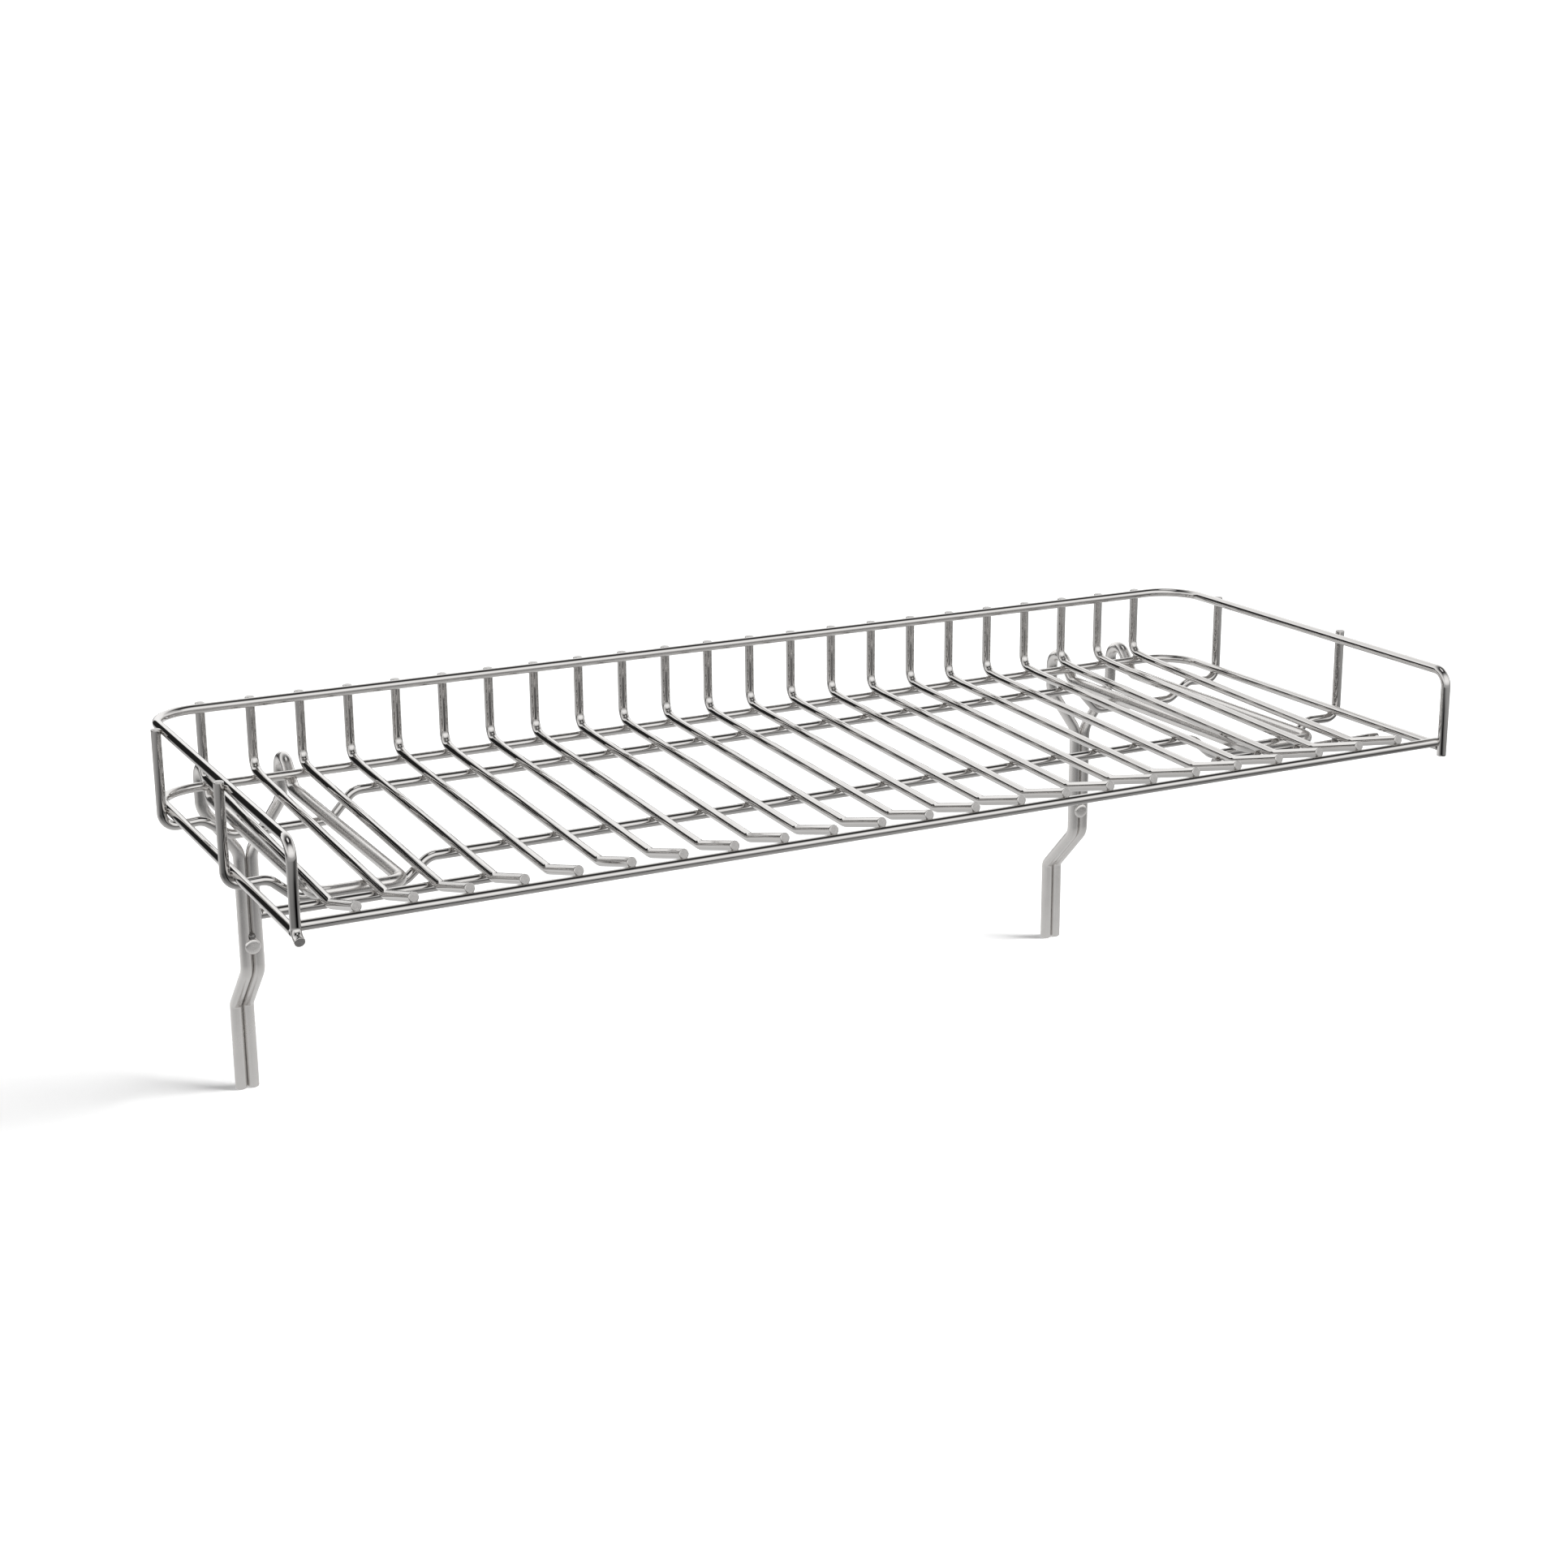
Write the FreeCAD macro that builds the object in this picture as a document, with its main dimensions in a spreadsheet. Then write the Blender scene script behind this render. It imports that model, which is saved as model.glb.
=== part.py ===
import FreeCAD, Part
import math
import os
import Sketcher

# Wire rack: a shallow open basket of welded wire, carried by two bent-wire legs that plug in at the back.
# Frame: +X to the right, +Y to the rear, +Z up. The origin lies midway between the two feet,
# at the level of their lower ends. Every length is in millimetres.

SLAT_COUNT = 23

DIMENSIONS = [
    # wires
    ("wire_dia", 4.8),
    ("leg_wire_dia", 6.4),
    ("weld_sink", 0.3),
    # basket
    ("slat_pitch", 25.4),
    ("side_margin", 27.4),
    ("rack_depth", 237.2),
    ("rim_rise", 40.0),
    ("rim_corner_radius", 23.0),
    ("post_bend_radius", 8.0),
    ("post_drop", 4.6),
    ("post_joint", 15.0),
    ("toe_level", 0.3),
    ("toe_reach", 5.5),
    ("toe_drop", 2.0),
    ("toe_bend_radius", 5.0),
    ("front_rail_depth", 235.0),
    ("front_rail_rise", 2.5),
    # slats
    ("peg_proud", 2.0),
    ("slat_corner_rise", 4.45),
    ("slat_corner_radius", 7.6),
    ("slat_ease_depth", 14.0),
    ("slat_ease_rise", 3.0),
    ("slat_ease_radius", 100.0),
    ("slat_front_depth", 199.0),
    ("slat_front_drop", 2.75),
    ("slat_front_radius", 14.0),
    ("slat_tip_depth", 235.0),
    ("slat_tip_rise", 7.0),
    # cross rails
    ("rear_cross_proud", 1.5),
    ("front_cross_proud", 3.5),
    ("rear_cross_depth", 35.0),
    ("front_cross_depth", 145.5),
    ("rear_cross_drop", 2.2),
    ("front_cross_drop", 5.6),
    ("cross_corner_radius", 7.0),
    ("rear_corner_drop", 8.0),
    ("front_corner_drop", 5.6),
    ("crest_inset", 15.2),
    ("rear_crest_drop", 6.8),
    ("front_crest_drop", 5.0),
    ("dip_outer_inset", 27.9),
    ("dip_inner_inset", 78.7),
    ("dip_rejoin_inset", 91.4),
    ("dip_drop", 16.0),
    ("cross_bend_radius", 9.0),
    # stop rails
    ("stop_depth", 185.4),
    ("stop_drop", 6.8),
    ("stop_overhang", 0.5),
    ("stop_length", 107.6),
    # legs
    ("leg_inset", 50.4),
    ("rail_height", 185.4),
    ("rail_setback", 51.0),
    ("twin_half_gap", 3.25),
    ("jog_reach", 27.4),
    ("jog_low", 48.5),
    ("jog_high", 76.0),
    ("jog_low_radius", 4.5),
    ("jog_high_radius", 9.0),
    ("shank_joint", 110.0),
    ("split_low", 141.0),
    ("split_high", 167.0),
    ("split_bend_radius", 13.0),
    ("limb_joint", 174.0),
    ("limb_half_gap", 20.9),
    ("arch_vertex_rise", 19.1),
    ("arch_radius", 8.0),
    ("arm_vertex_setback", 1.2),
    ("arm_drop", 7.8),
    ("arm_bend_radius", 8.0),
    ("arm_joint_depth", 150.0),
    ("crossbar_depth", 168.0),
    ("hairpin_radius", 7.5),
    ("button_dia", 8.6),
    ("button_length", 3.0),
    ("button_height", 90.0),
    ("button_sink", 2.0),
]


class Size:
    """A length that carries its number together with the sheet expression that drives it."""

    def __init__(self, number, text):
        self.number = float(number)
        self.text = text

    def combine(self, other, symbol, number):
        return Size(number, "(" + self.text + " " + symbol + " " + other.text + ")")

    def __add__(self, other):
        return self.combine(other, "+", self.number + other.number)

    def __sub__(self, other):
        return self.combine(other, "-", self.number - other.number)

    def __neg__(self):
        return Size(-self.number, "(-1 * " + self.text + ")")

    def times(self, factor):
        return Size(self.number * factor, "(" + self.text + " * " + str(factor) + ")")


ZERO = Size(0.0, "0")


def fill_sheet(document):
    """Write the driving dimensions and return them as a dictionary of Size."""
    sheet = document.addObject("Spreadsheet::Sheet", "dims")
    sizes = {}
    for row, (alias, value) in enumerate(DIMENSIONS, start=1):
        sheet.set("A" + str(row), alias)
        sheet.set("B" + str(row), str(value))
        sheet.setAlias("B" + str(row), alias)
        sizes[alias] = Size(value, "dims." + alias)
    document.recompute()
    return sizes


# ---------------------------------------------------------------- sketches

PLANES = {"XY": "XY_Plane", "XZ": "XZ_Plane", "YZ": "YZ_Plane"}


def new_body(document, label, place):
    """A body named after its node, placed by expressions."""
    body = document.addObject("PartDesign::Body", label)
    body.Label = label
    for axis, size in zip("xyz", place):
        if size.text != "0":
            body.setExpression("Placement.Base." + axis, size.text)
    return body


def new_sketch(body, name, plane, offset):
    """A sketch on one of the body's own origin planes, moved along the plane's normal."""
    sketch = body.newObject("Sketcher::SketchObject", name)
    for feature in body.Origin.OriginFeatures:
        if feature.Role == PLANES[plane]:
            sketch.AttachmentSupport = [(feature, "")]
    sketch.MapMode = "FlatFace"
    sketch.AttachmentOffset = FreeCAD.Placement(
        FreeCAD.Vector(0, 0, offset.number), FreeCAD.Rotation()
    )
    if offset.text != "0":
        sketch.setExpression("AttachmentOffset.Base.z", offset.text)
    return sketch


def drive(sketch, kind, name, size, *elements):
    """Add a constraint whose value follows the sheet."""
    index = sketch.addConstraint(Sketcher.Constraint(kind, *elements, size.number))
    sketch.renameConstraint(index, name)
    if size.text != "0":
        sketch.setExpression("Constraints." + name, size.text)


def pin_point(sketch, tag, element, which, point):
    """Hold a point at its two coordinates from the sketch's origin."""
    across, along = point
    if abs(across.number) < 1e-9:
        sketch.addConstraint(Sketcher.Constraint("PointOnObject", element, which, -2))
    else:
        drive(sketch, "DistanceX", tag + "_across", across, -1, 1, element, which)
    if abs(along.number) < 1e-9:
        sketch.addConstraint(Sketcher.Constraint("PointOnObject", element, which, -1))
    else:
        drive(sketch, "DistanceY", tag + "_along", along, -1, 1, element, which)


def spine_corners(points, radii):
    """Tangent points, arc centre and turning sense at each inner vertex of the spine."""
    flat = [FreeCAD.Vector(a.number, b.number, 0) for a, b in points]
    corners = []
    for index, radius in enumerate(radii, start=1):
        before = (flat[index] - flat[index - 1]).normalize()
        after = (flat[index + 1] - flat[index]).normalize()
        turn = math.atan2(before.cross(after).z, before.dot(after))
        reach = radius.number * math.tan(abs(turn) / 2)
        side = 1 if turn > 0 else -1
        entry = flat[index] - before * reach
        leave = flat[index] + after * reach
        inward = FreeCAD.Vector(-before.y, before.x, 0) * side
        corners.append((entry, leave, entry + inward * radius.number, side))
    return flat, corners


def draw_spine(sketch, points, radii):
    """A fully constrained chain of straight runs joined by tangent bends."""
    flat, corners = spine_corners(points, radii)
    starts = [flat[0]] + [corner[1] for corner in corners]
    ends = [corner[0] for corner in corners] + [flat[-1]]
    lines = []
    for start, end in zip(starts, ends):
        lines.append(sketch.addGeometry(Part.LineSegment(start, end), False))
    pin_point(sketch, "first", lines[0], 1, points[0])
    pin_point(sketch, "last", lines[-1], 2, points[-1])
    up = FreeCAD.Vector(0, 0, 1)
    for index, (entry, leave, centre, side) in enumerate(corners):
        first, second = (entry, leave) if side > 0 else (leave, entry)
        angles = []
        for spot in (first, second):
            angles.append(math.atan2(spot.y - centre.y, spot.x - centre.x))
        if angles[1] < angles[0]:
            angles[1] += 2 * math.pi
        circle = Part.Circle(centre, up, radii[index].number)
        arc = sketch.addGeometry(Part.ArcOfCircle(circle, *angles), False)
        vertex = sketch.addGeometry(Part.Point(flat[index + 1]), True)
        near, far = (1, 2) if side > 0 else (2, 1)
        tag = "vertex" + str(index + 1)
        pin_point(sketch, tag, vertex, 1, points[index + 1])
        for line in (lines[index], lines[index + 1]):
            sketch.addConstraint(Sketcher.Constraint("PointOnObject", vertex, 1, line))
        sketch.addConstraint(Sketcher.Constraint("Tangent", lines[index], 2, arc, near))
        sketch.addConstraint(Sketcher.Constraint("Tangent", arc, far, lines[index + 1], 1))
        drive(sketch, "Radius", tag + "_radius", radii[index], arc)


def add_wire(body, tag, plane, offset, points, radii, diameter):
    """Sweep a round wire along a spine drawn on one plane of the body.

    The spine's first run is parallel to an axis, so the wire's section lies on an origin plane there.
    """
    across, along = points[0]
    runs_along = abs(points[1][1].number - along.number) > abs(points[1][0].number - across.number)
    # the plane square to the first run, that plane's offset, and the section's centre on it
    section_of = {
        ("XY", True): ("XZ", -along, (across, offset)),
        ("XY", False): ("YZ", across, (along, offset)),
        ("XZ", True): ("XY", along, (across, -offset)),
        ("XZ", False): ("YZ", across, (-offset, along)),
        ("YZ", True): ("XY", along, (offset, across)),
        ("YZ", False): ("XZ", -across, (offset, along)),
    }
    section_plane, section_offset, centre = section_of[(plane, runs_along)]
    spine = new_sketch(body, body.Name + "_" + tag + "_spine", plane, offset)
    draw_spine(spine, points, radii)
    section = new_sketch(body, body.Name + "_" + tag + "_section", section_plane, section_offset)
    middle = FreeCAD.Vector(centre[0].number, centre[1].number, 0)
    up = FreeCAD.Vector(0, 0, 1)
    ring = section.addGeometry(Part.Circle(middle, up, diameter.number / 2), False)
    pin_point(section, "centre", ring, 3, centre)
    drive(section, "Diameter", "wire", diameter, ring)
    pipe = body.newObject("PartDesign::AdditivePipe", body.Name + "_" + tag)
    pipe.Profile = section
    pipe.Spine = spine
    for sketch in (spine, section):
        sketch.Visibility = False


# ---------------------------------------------------------------- the basket

def build_rims(document, s, place):
    half = s["slat_pitch"].times(SLAT_COUNT // 2) + s["side_margin"]
    corner = [s["rim_corner_radius"]] * 2
    front = -(s["rack_depth"] - s["wire_dia"].times(0.5) + s["weld_sink"])
    lower = new_body(document, "lower_rim", place)
    ring = [(-half, front), (-half, ZERO), (half, ZERO), (half, front)]
    add_wire(lower, "loop", "XY", ZERO, ring, corner, s["wire_dia"])

    upper = new_body(document, "upper_rim", place)
    joint = -(s["rack_depth"] - s["post_joint"])
    ring = [(-half, joint), (-half, ZERO), (half, ZERO), (half, joint)]
    add_wire(upper, "loop", "XY", s["rim_rise"], ring, corner, s["wire_dia"])
    post = -s["rack_depth"]
    toe = [(post - s["toe_reach"], -(s["toe_level"] + s["toe_drop"]))]
    ends = {
        "left": (-half, [(post, -s["toe_level"])] + toe, [s["toe_bend_radius"]]),
        "right": (half, [(post, -s["post_drop"])], []),
    }
    for side, (across, foot, foot_radii) in ends.items():
        path = [(joint, s["rim_rise"]), (post, s["rim_rise"])] + foot
        radii = [s["post_bend_radius"]] + foot_radii
        add_wire(upper, side + "_post", "YZ", across, path, radii, s["wire_dia"])


def build_front_rail(document, s, place):
    half = s["slat_pitch"].times(SLAT_COUNT // 2) + s["side_margin"]
    end = half - s["wire_dia"].times(0.25)
    rail = new_body(document, "front_rail", place)
    path = [(-end, s["front_rail_rise"]), (end, s["front_rail_rise"])]
    add_wire(rail, "run", "XZ", s["front_rail_depth"], path, [], s["wire_dia"])


def build_slats(document, s, place):
    behind = s["wire_dia"] - s["weld_sink"]
    path = [
        (behind, s["rim_rise"] + s["peg_proud"]),
        (behind, s["slat_corner_rise"]),
        (-s["slat_ease_depth"], s["slat_ease_rise"]),
        (-s["slat_front_depth"], -s["slat_front_drop"]),
        (-s["slat_tip_depth"], s["slat_tip_rise"]),
    ]
    radii = [s["slat_corner_radius"], s["slat_ease_radius"], s["slat_front_radius"]]
    middle = SLAT_COUNT // 2
    for index in range(SLAT_COUNT):
        label = "slat_" + str(index + 1).zfill(2)
        across = s["slat_pitch"].times(index - middle)
        slat = new_body(document, label, (across, place[1], place[2]))
        add_wire(slat, "run", "YZ", ZERO, path, radii, s["wire_dia"])


def build_cross_rails(document, s, place):
    rim = s["slat_pitch"].times(SLAT_COUNT // 2) + s["side_margin"]
    peg = rim + s["wire_dia"] - s["weld_sink"]
    corner = s["cross_corner_radius"]
    bend = s["cross_bend_radius"]
    for name in ("rear", "front"):
        top = s["rim_rise"] + s[name + "_cross_proud"]
        level = -s[name + "_cross_drop"]
        half = [
            (peg, top),
            (peg, -s[name + "_corner_drop"]),
            (rim - s["crest_inset"], -s[name + "_crest_drop"]),
            (rim - s["dip_outer_inset"], -s["dip_drop"]),
            (rim - s["dip_inner_inset"], -s["dip_drop"]),
            (rim - s["dip_rejoin_inset"], level),
        ]
        mirrored = [(-across, along) for across, along in half]
        path = mirrored + half[::-1]
        radii = [corner, bend, bend, bend, bend]
        rail = new_body(document, name + "_cross_rail", place)
        depth = s[name + "_cross_depth"]
        add_wire(rail, "run", "XZ", depth, path, radii + radii[::-1], s["wire_dia"])


def build_stop_rails(document, s, place):
    outer = s["slat_pitch"].times(SLAT_COUNT // 2) + s["side_margin"] + s["stop_overhang"]
    inner = outer - s["stop_length"]
    for side, path in (
        ("left", [(-outer, -s["stop_drop"]), (-inner, -s["stop_drop"])]),
        ("right", [(inner, -s["stop_drop"]), (outer, -s["stop_drop"])]),
    ):
        rail = new_body(document, side + "_stop_rail", place)
        add_wire(rail, "run", "XZ", s["stop_depth"], path, [], s["wire_dia"])


# ---------------------------------------------------------------- the legs

def build_leg(document, s, side, place):
    leg = new_body(document, side + "_leg", place)
    wire = s["leg_wire_dia"]
    shank = -s["jog_reach"]
    arm = s["rail_height"] - s["arm_drop"]
    front = -(s["rail_setback"] + s["arm_joint_depth"])
    jog_bends = [s["jog_low_radius"], s["jog_high_radius"]]
    for hand, sign in (("a", -1), ("b", 1)):
        twin = s["twin_half_gap"].times(sign)
        limb = s["limb_half_gap"].times(sign)
        foot = [(ZERO, ZERO), (ZERO, s["jog_low"]), (shank, s["jog_high"]), (shank, s["shank_joint"])]
        add_wire(leg, hand + "_foot", "YZ", twin, foot, jog_bends, wire)
        split = [
            (twin, s["shank_joint"]),
            (twin, s["split_low"]),
            (limb, s["split_high"]),
            (limb, s["limb_joint"]),
        ]
        add_wire(leg, hand + "_split", "XZ", -shank, split, [s["split_bend_radius"]] * 2, wire)
        arch = [
            (shank, s["limb_joint"]),
            (shank, s["rail_height"] + s["arch_vertex_rise"]),
            (s["arm_vertex_setback"] - s["rail_setback"], arm),
            (front, arm),
        ]
        bends = [s["arch_radius"], s["arm_bend_radius"]]
        add_wire(leg, hand + "_arch", "YZ", limb, arch, bends, wire)
        if hand == "a":
            continue
        bar = -(s["rail_setback"] + s["crossbar_depth"])
        hairpin = [(-limb, front), (-limb, bar), (limb, bar), (limb, front)]
        add_wire(leg, "crossbar", "XY", arm, hairpin, [s["hairpin_radius"]] * 2, wire)

    button = new_body(document, side + "_button", place)
    face = s["jog_reach"] + s["leg_wire_dia"].times(0.5) - s["button_sink"]
    disc = new_sketch(button, side + "_button_disc", "XZ", face)
    up = FreeCAD.Vector(0, 0, 1)
    middle = FreeCAD.Vector(0, s["button_height"].number, 0)
    ring = disc.addGeometry(Part.Circle(middle, up, s["button_dia"].number / 2), False)
    pin_point(disc, "centre", ring, 3, (ZERO, s["button_height"]))
    drive(disc, "Diameter", "disc", s["button_dia"], ring)
    pad = button.newObject("PartDesign::Pad", side + "_button_pad")
    pad.Profile = disc
    pad.setExpression("Length", s["button_length"].text)
    disc.Visibility = False


# ---------------------------------------------------------------- assembly

def build():
    document = FreeCAD.newDocument("wire_rack")
    s = fill_sheet(document)
    basket = (ZERO, -s["rail_setback"], s["rail_height"])
    build_rims(document, s, basket)
    build_front_rail(document, s, basket)
    build_slats(document, s, basket)
    build_cross_rails(document, s, basket)
    build_stop_rails(document, s, basket)
    leg_across = s["slat_pitch"].times(SLAT_COUNT // 2) + s["side_margin"] - s["leg_inset"]
    build_leg(document, s, "left", (-leg_across, ZERO, ZERO))
    build_leg(document, s, "right", (leg_across, ZERO, ZERO))
    document.recompute()
    return document


def check_and_export(document):
    for item in document.Objects:
        for trouble in ("Invalid", "Error"):
            if trouble in item.State:
                raise RuntimeError(item.Label + " is " + trouble)
    os.makedirs("parts", exist_ok=True)
    for item in document.Objects:
        if item.TypeId != "PartDesign::Body":
            continue
        shape = item.Shape
        if shape.isNull() or not shape.isValid() or len(shape.Solids) != 1:
            raise RuntimeError(item.Label + " has no single valid solid")
        shape.exportStep("parts/" + item.Label + ".step")
        print(item.Label, shape.BoundBox)


check_and_export(build())
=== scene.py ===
import math
import random

import bmesh
import bpy
from mathutils import Matrix, Quaternion, Vector, noise


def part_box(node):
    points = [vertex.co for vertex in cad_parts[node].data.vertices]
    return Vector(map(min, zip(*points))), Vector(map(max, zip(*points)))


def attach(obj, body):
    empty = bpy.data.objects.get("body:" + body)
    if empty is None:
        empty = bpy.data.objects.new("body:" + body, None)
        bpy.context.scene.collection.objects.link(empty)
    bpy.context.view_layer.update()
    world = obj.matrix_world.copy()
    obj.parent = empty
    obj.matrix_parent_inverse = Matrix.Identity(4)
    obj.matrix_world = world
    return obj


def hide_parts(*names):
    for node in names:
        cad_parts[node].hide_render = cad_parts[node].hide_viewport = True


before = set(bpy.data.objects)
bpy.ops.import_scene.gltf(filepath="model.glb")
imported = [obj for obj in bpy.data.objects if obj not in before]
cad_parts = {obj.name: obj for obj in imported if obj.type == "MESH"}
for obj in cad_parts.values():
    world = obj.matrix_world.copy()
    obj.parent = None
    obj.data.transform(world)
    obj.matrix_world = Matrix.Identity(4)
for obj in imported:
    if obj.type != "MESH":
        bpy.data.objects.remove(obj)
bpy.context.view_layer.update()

# The rack is a basket of bright wire on two legs of satin wire. Every wire is drawn here as a tube
# along the same line as its CAD solid, with round bends and cut ends, and small weld beads are added.
# Sizes are in millimetres up to the point where a vertex is made, which is in metres.

MM = 0.001
RING = 32                          # facets round a wire
BEND_STEP = math.radians(4.0)      # turn between two rings of a bend
LONGEST_RUN = 14.0                 # distance between two rings of a straight run

SLATS = 23
WIRE_R = 2.4                       # radius of the basket's wires
LEG_WIRE_R = 3.2                   # radius of the legs' wires
WELD_SINK = 0.3                    # how far two welded wires sink into each other
RIM_DEPTH = 237.2                  # from the rear rims forward to the front posts


# ---------------------------------------------------------------- places taken from the frame

def box_mm(node):
    low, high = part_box(node)
    return [v / MM for v in low], [v / MM for v in high]


UP_LOW, UP_HIGH = box_mm("upper_rim")
LO_LOW, LO_HIGH = box_mm("lower_rim")
FR_LOW, FR_HIGH = box_mm("front_rail")

HALF = UP_HIGH[0] - WIRE_R         # from the middle of the basket to a side rim's centre line
REAR = UP_HIGH[1] - WIRE_R         # y of the rear rims' centre line
LEVEL = LO_HIGH[2] - WIRE_R        # z of the lower rim's centre line
TOP = UP_HIGH[2] - WIRE_R          # z of the upper rim's centre line
RISE = TOP - LEVEL                 # from the lower rim up to the upper rim
POST = -RIM_DEPTH                  # depth of the front posts' centre line
SLAT_X = []
for number in range(1, SLATS + 1):
    low, high = box_mm("slat_%02d" % number)
    SLAT_X.append((low[0] + high[0]) / 2)


def basket(x, depth, rise):
    """A point given by its depth behind the rear rims and its rise above the lower rim."""
    return Vector((x, REAR + depth, LEVEL + rise))


# ---------------------------------------------------------------- wire paths

def fillet(corners, radii):
    """Points along a chain of straight runs joined by round bends of the given radii."""
    points = [corners[0]]
    for index, radius in enumerate(radii, start=1):
        here = corners[index]
        before = (here - corners[index - 1]).normalized()
        after = (corners[index + 1] - here).normalized()
        turn = before.angle(after)
        reach = radius * math.tan(turn / 2)
        entry = here - before * reach
        axis = before.cross(after).normalized()
        inward = axis.cross(before)
        centre = entry + inward * radius
        steps = max(3, int(math.ceil(turn / BEND_STEP)))
        for step in range(steps + 1):
            spin = Quaternion(axis, turn * step / steps)
            points.append(centre + spin @ (entry - centre))
    points.append(corners[-1])
    return points


def spaced(points, longest):
    """The same line with its long runs divided."""
    out = [points[0]]
    for a, b in zip(points, points[1:]):
        parts = max(1, int(math.ceil((b - a).length / longest)))
        for part in range(1, parts + 1):
            out.append(a.lerp(b, part / parts))
    return out


# Rings at the end of a wire, as (distance back from the end, how much smaller than the wire).
CUT_END = [(0.0, 0.34), (0.05, 0.18), (0.14, 0.06), (0.32, 0.0), (0.9, 0.0)]
ROUND_END = [(0.0, 1.1), (0.12, 0.62), (0.42, 0.22), (1.0, 0.0), (1.8, 0.0)]


def frames_along(points):
    """Tangent, side and up at every point, turned as little as possible from one to the next."""
    frames = []
    side = None
    for index, point in enumerate(points):
        ahead = points[min(index + 1, len(points) - 1)] - point
        behind = point - points[max(index - 1, 0)]
        tangent = (ahead.normalized() + behind.normalized()).normalized()
        if side is None:
            guess = Vector((0, 0, 1)) if abs(tangent.z) < 0.9 else Vector((0, 1, 0))
            side = tangent.cross(guess).normalized()
        else:
            side = (side - tangent * side.dot(tangent)).normalized()
        frames.append((tangent, side, tangent.cross(side).normalized()))
    return frames


def wire_rings(points, radius, ends):
    """(centre, radius) of each ring, with the extra rings of the two trimmed ends."""
    first, last = ends
    start_dir = (points[1] - points[0]).normalized()
    end_dir = (points[-1] - points[-2]).normalized()
    rings = []
    for back, less in first:
        rings.append((points[0] + start_dir * back, radius - less))
    for point in points[1:-1]:
        rings.append((point, radius))
    for back, less in reversed(last):
        rings.append((points[-1] - end_dir * back, radius - less))
    return rings


def add_tube(bm, layer, points, radius, ends, offset):
    """Adds one closed wire to a bmesh. The layer keeps (along, across, across) for its finish."""
    rings = wire_rings(points, radius, ends)
    frames = frames_along([centre for centre, _ in rings])
    along = 0.0
    previous = rings[0][0]
    loops = []
    for (centre, ring_radius), (tangent, side, up) in zip(rings, frames):
        along += (centre - previous).length
        previous = centre
        loop = []
        for k in range(RING):
            angle = 2 * math.pi * k / RING
            outward = side * math.cos(angle) + up * math.sin(angle)
            vert = bm.verts.new((centre + outward * ring_radius) * MM)
            vert[layer] = Vector(
                (
                    along * MM + offset,
                    math.cos(angle) * radius * MM,
                    math.sin(angle) * radius * MM,
                )
            )
            loop.append(vert)
        loops.append(loop)
    skin(bm, loops)
    for loop in (loops[0], loops[-1]):
        cap = bm.faces.new(loop)
        cap.material_index = 1
        for edge in cap.edges:
            edge.smooth = False


def skin(bm, loops):
    """Faces between loops of vertices that lie one behind the other."""
    for a, b in zip(loops, loops[1:]):
        for k in range(len(a)):
            n = (k + 1) % len(a)
            bm.faces.new((a[k], a[n], b[n], b[k]))


def finish_mesh(name, bm, materials, body, nodes):
    """Turns a bmesh into a piece that rides on a body and stands for the CAD nodes, if there are any."""
    bmesh.ops.recalc_face_normals(bm, faces=bm.faces)
    for face in bm.faces:
        face.smooth = face.material_index == 0
    mesh = bpy.data.meshes.new(name)
    bm.to_mesh(mesh)
    bm.free()
    for material in materials:
        mesh.materials.append(material)
    piece = bpy.data.objects.new(name, mesh)
    bpy.context.scene.collection.objects.link(piece)
    if nodes:
        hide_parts(*nodes)
    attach(piece, body)
    return piece


def wire_piece(name, corners, bends, ends, radius, materials, body):
    """One wire through the corners, which replaces the CAD node of the same name."""
    bm = bmesh.new()
    layer = bm.verts.layers.float_vector.new("wire")
    points = spaced(fillet(corners, bends), LONGEST_RUN)
    offset = random.Random(name + "0").uniform(0.0, 9.0)
    add_tube(bm, layer, points, radius, ends, offset)
    return finish_mesh(name, bm, materials, body, [name])


# ---------------------------------------------------------------- node materials

def new_material(name):
    material = bpy.data.materials.new(name)
    material.use_nodes = True
    tree = material.node_tree
    tree.nodes.clear()
    output = tree.nodes.new("ShaderNodeOutputMaterial")
    shader = tree.nodes.new("ShaderNodeBsdfPrincipled")
    tree.links.new(shader.outputs["BSDF"], output.inputs["Surface"])
    return material, tree, shader


def node(tree, kind, **values):
    """A new node; each value goes to the input or the setting of that name."""
    made = tree.nodes.new(kind)
    for key, value in values.items():
        if key in made.inputs:
            made.inputs[key].default_value = value
        else:
            setattr(made, key, value)
    return made


def noise_field(tree, vector, scale, detail, roughness, stretch=None):
    """A noise texture on the given coordinates, stretched per axis where asked."""
    if stretch is not None:
        mapping = node(tree, "ShaderNodeMapping")
        mapping.inputs["Scale"].default_value = stretch
        tree.links.new(vector, mapping.inputs["Vector"])
        vector = mapping.outputs["Vector"]
    field = node(tree, "ShaderNodeTexNoise", Scale=scale, Detail=detail, Roughness=roughness)
    tree.links.new(vector, field.inputs["Vector"])
    return field.outputs["Fac"]


def ramp(tree, fac, stops):
    """A colour ramp through (position, colour) stops."""
    made = node(tree, "ShaderNodeValToRGB")
    elements = made.color_ramp.elements
    while len(elements) < len(stops):
        elements.new(0.5)
    for element, (place, colour) in zip(elements, stops):
        element.position = place
        element.color = (*colour, 1.0)
    tree.links.new(fac, made.inputs["Fac"])
    return made.outputs["Color"]


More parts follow.
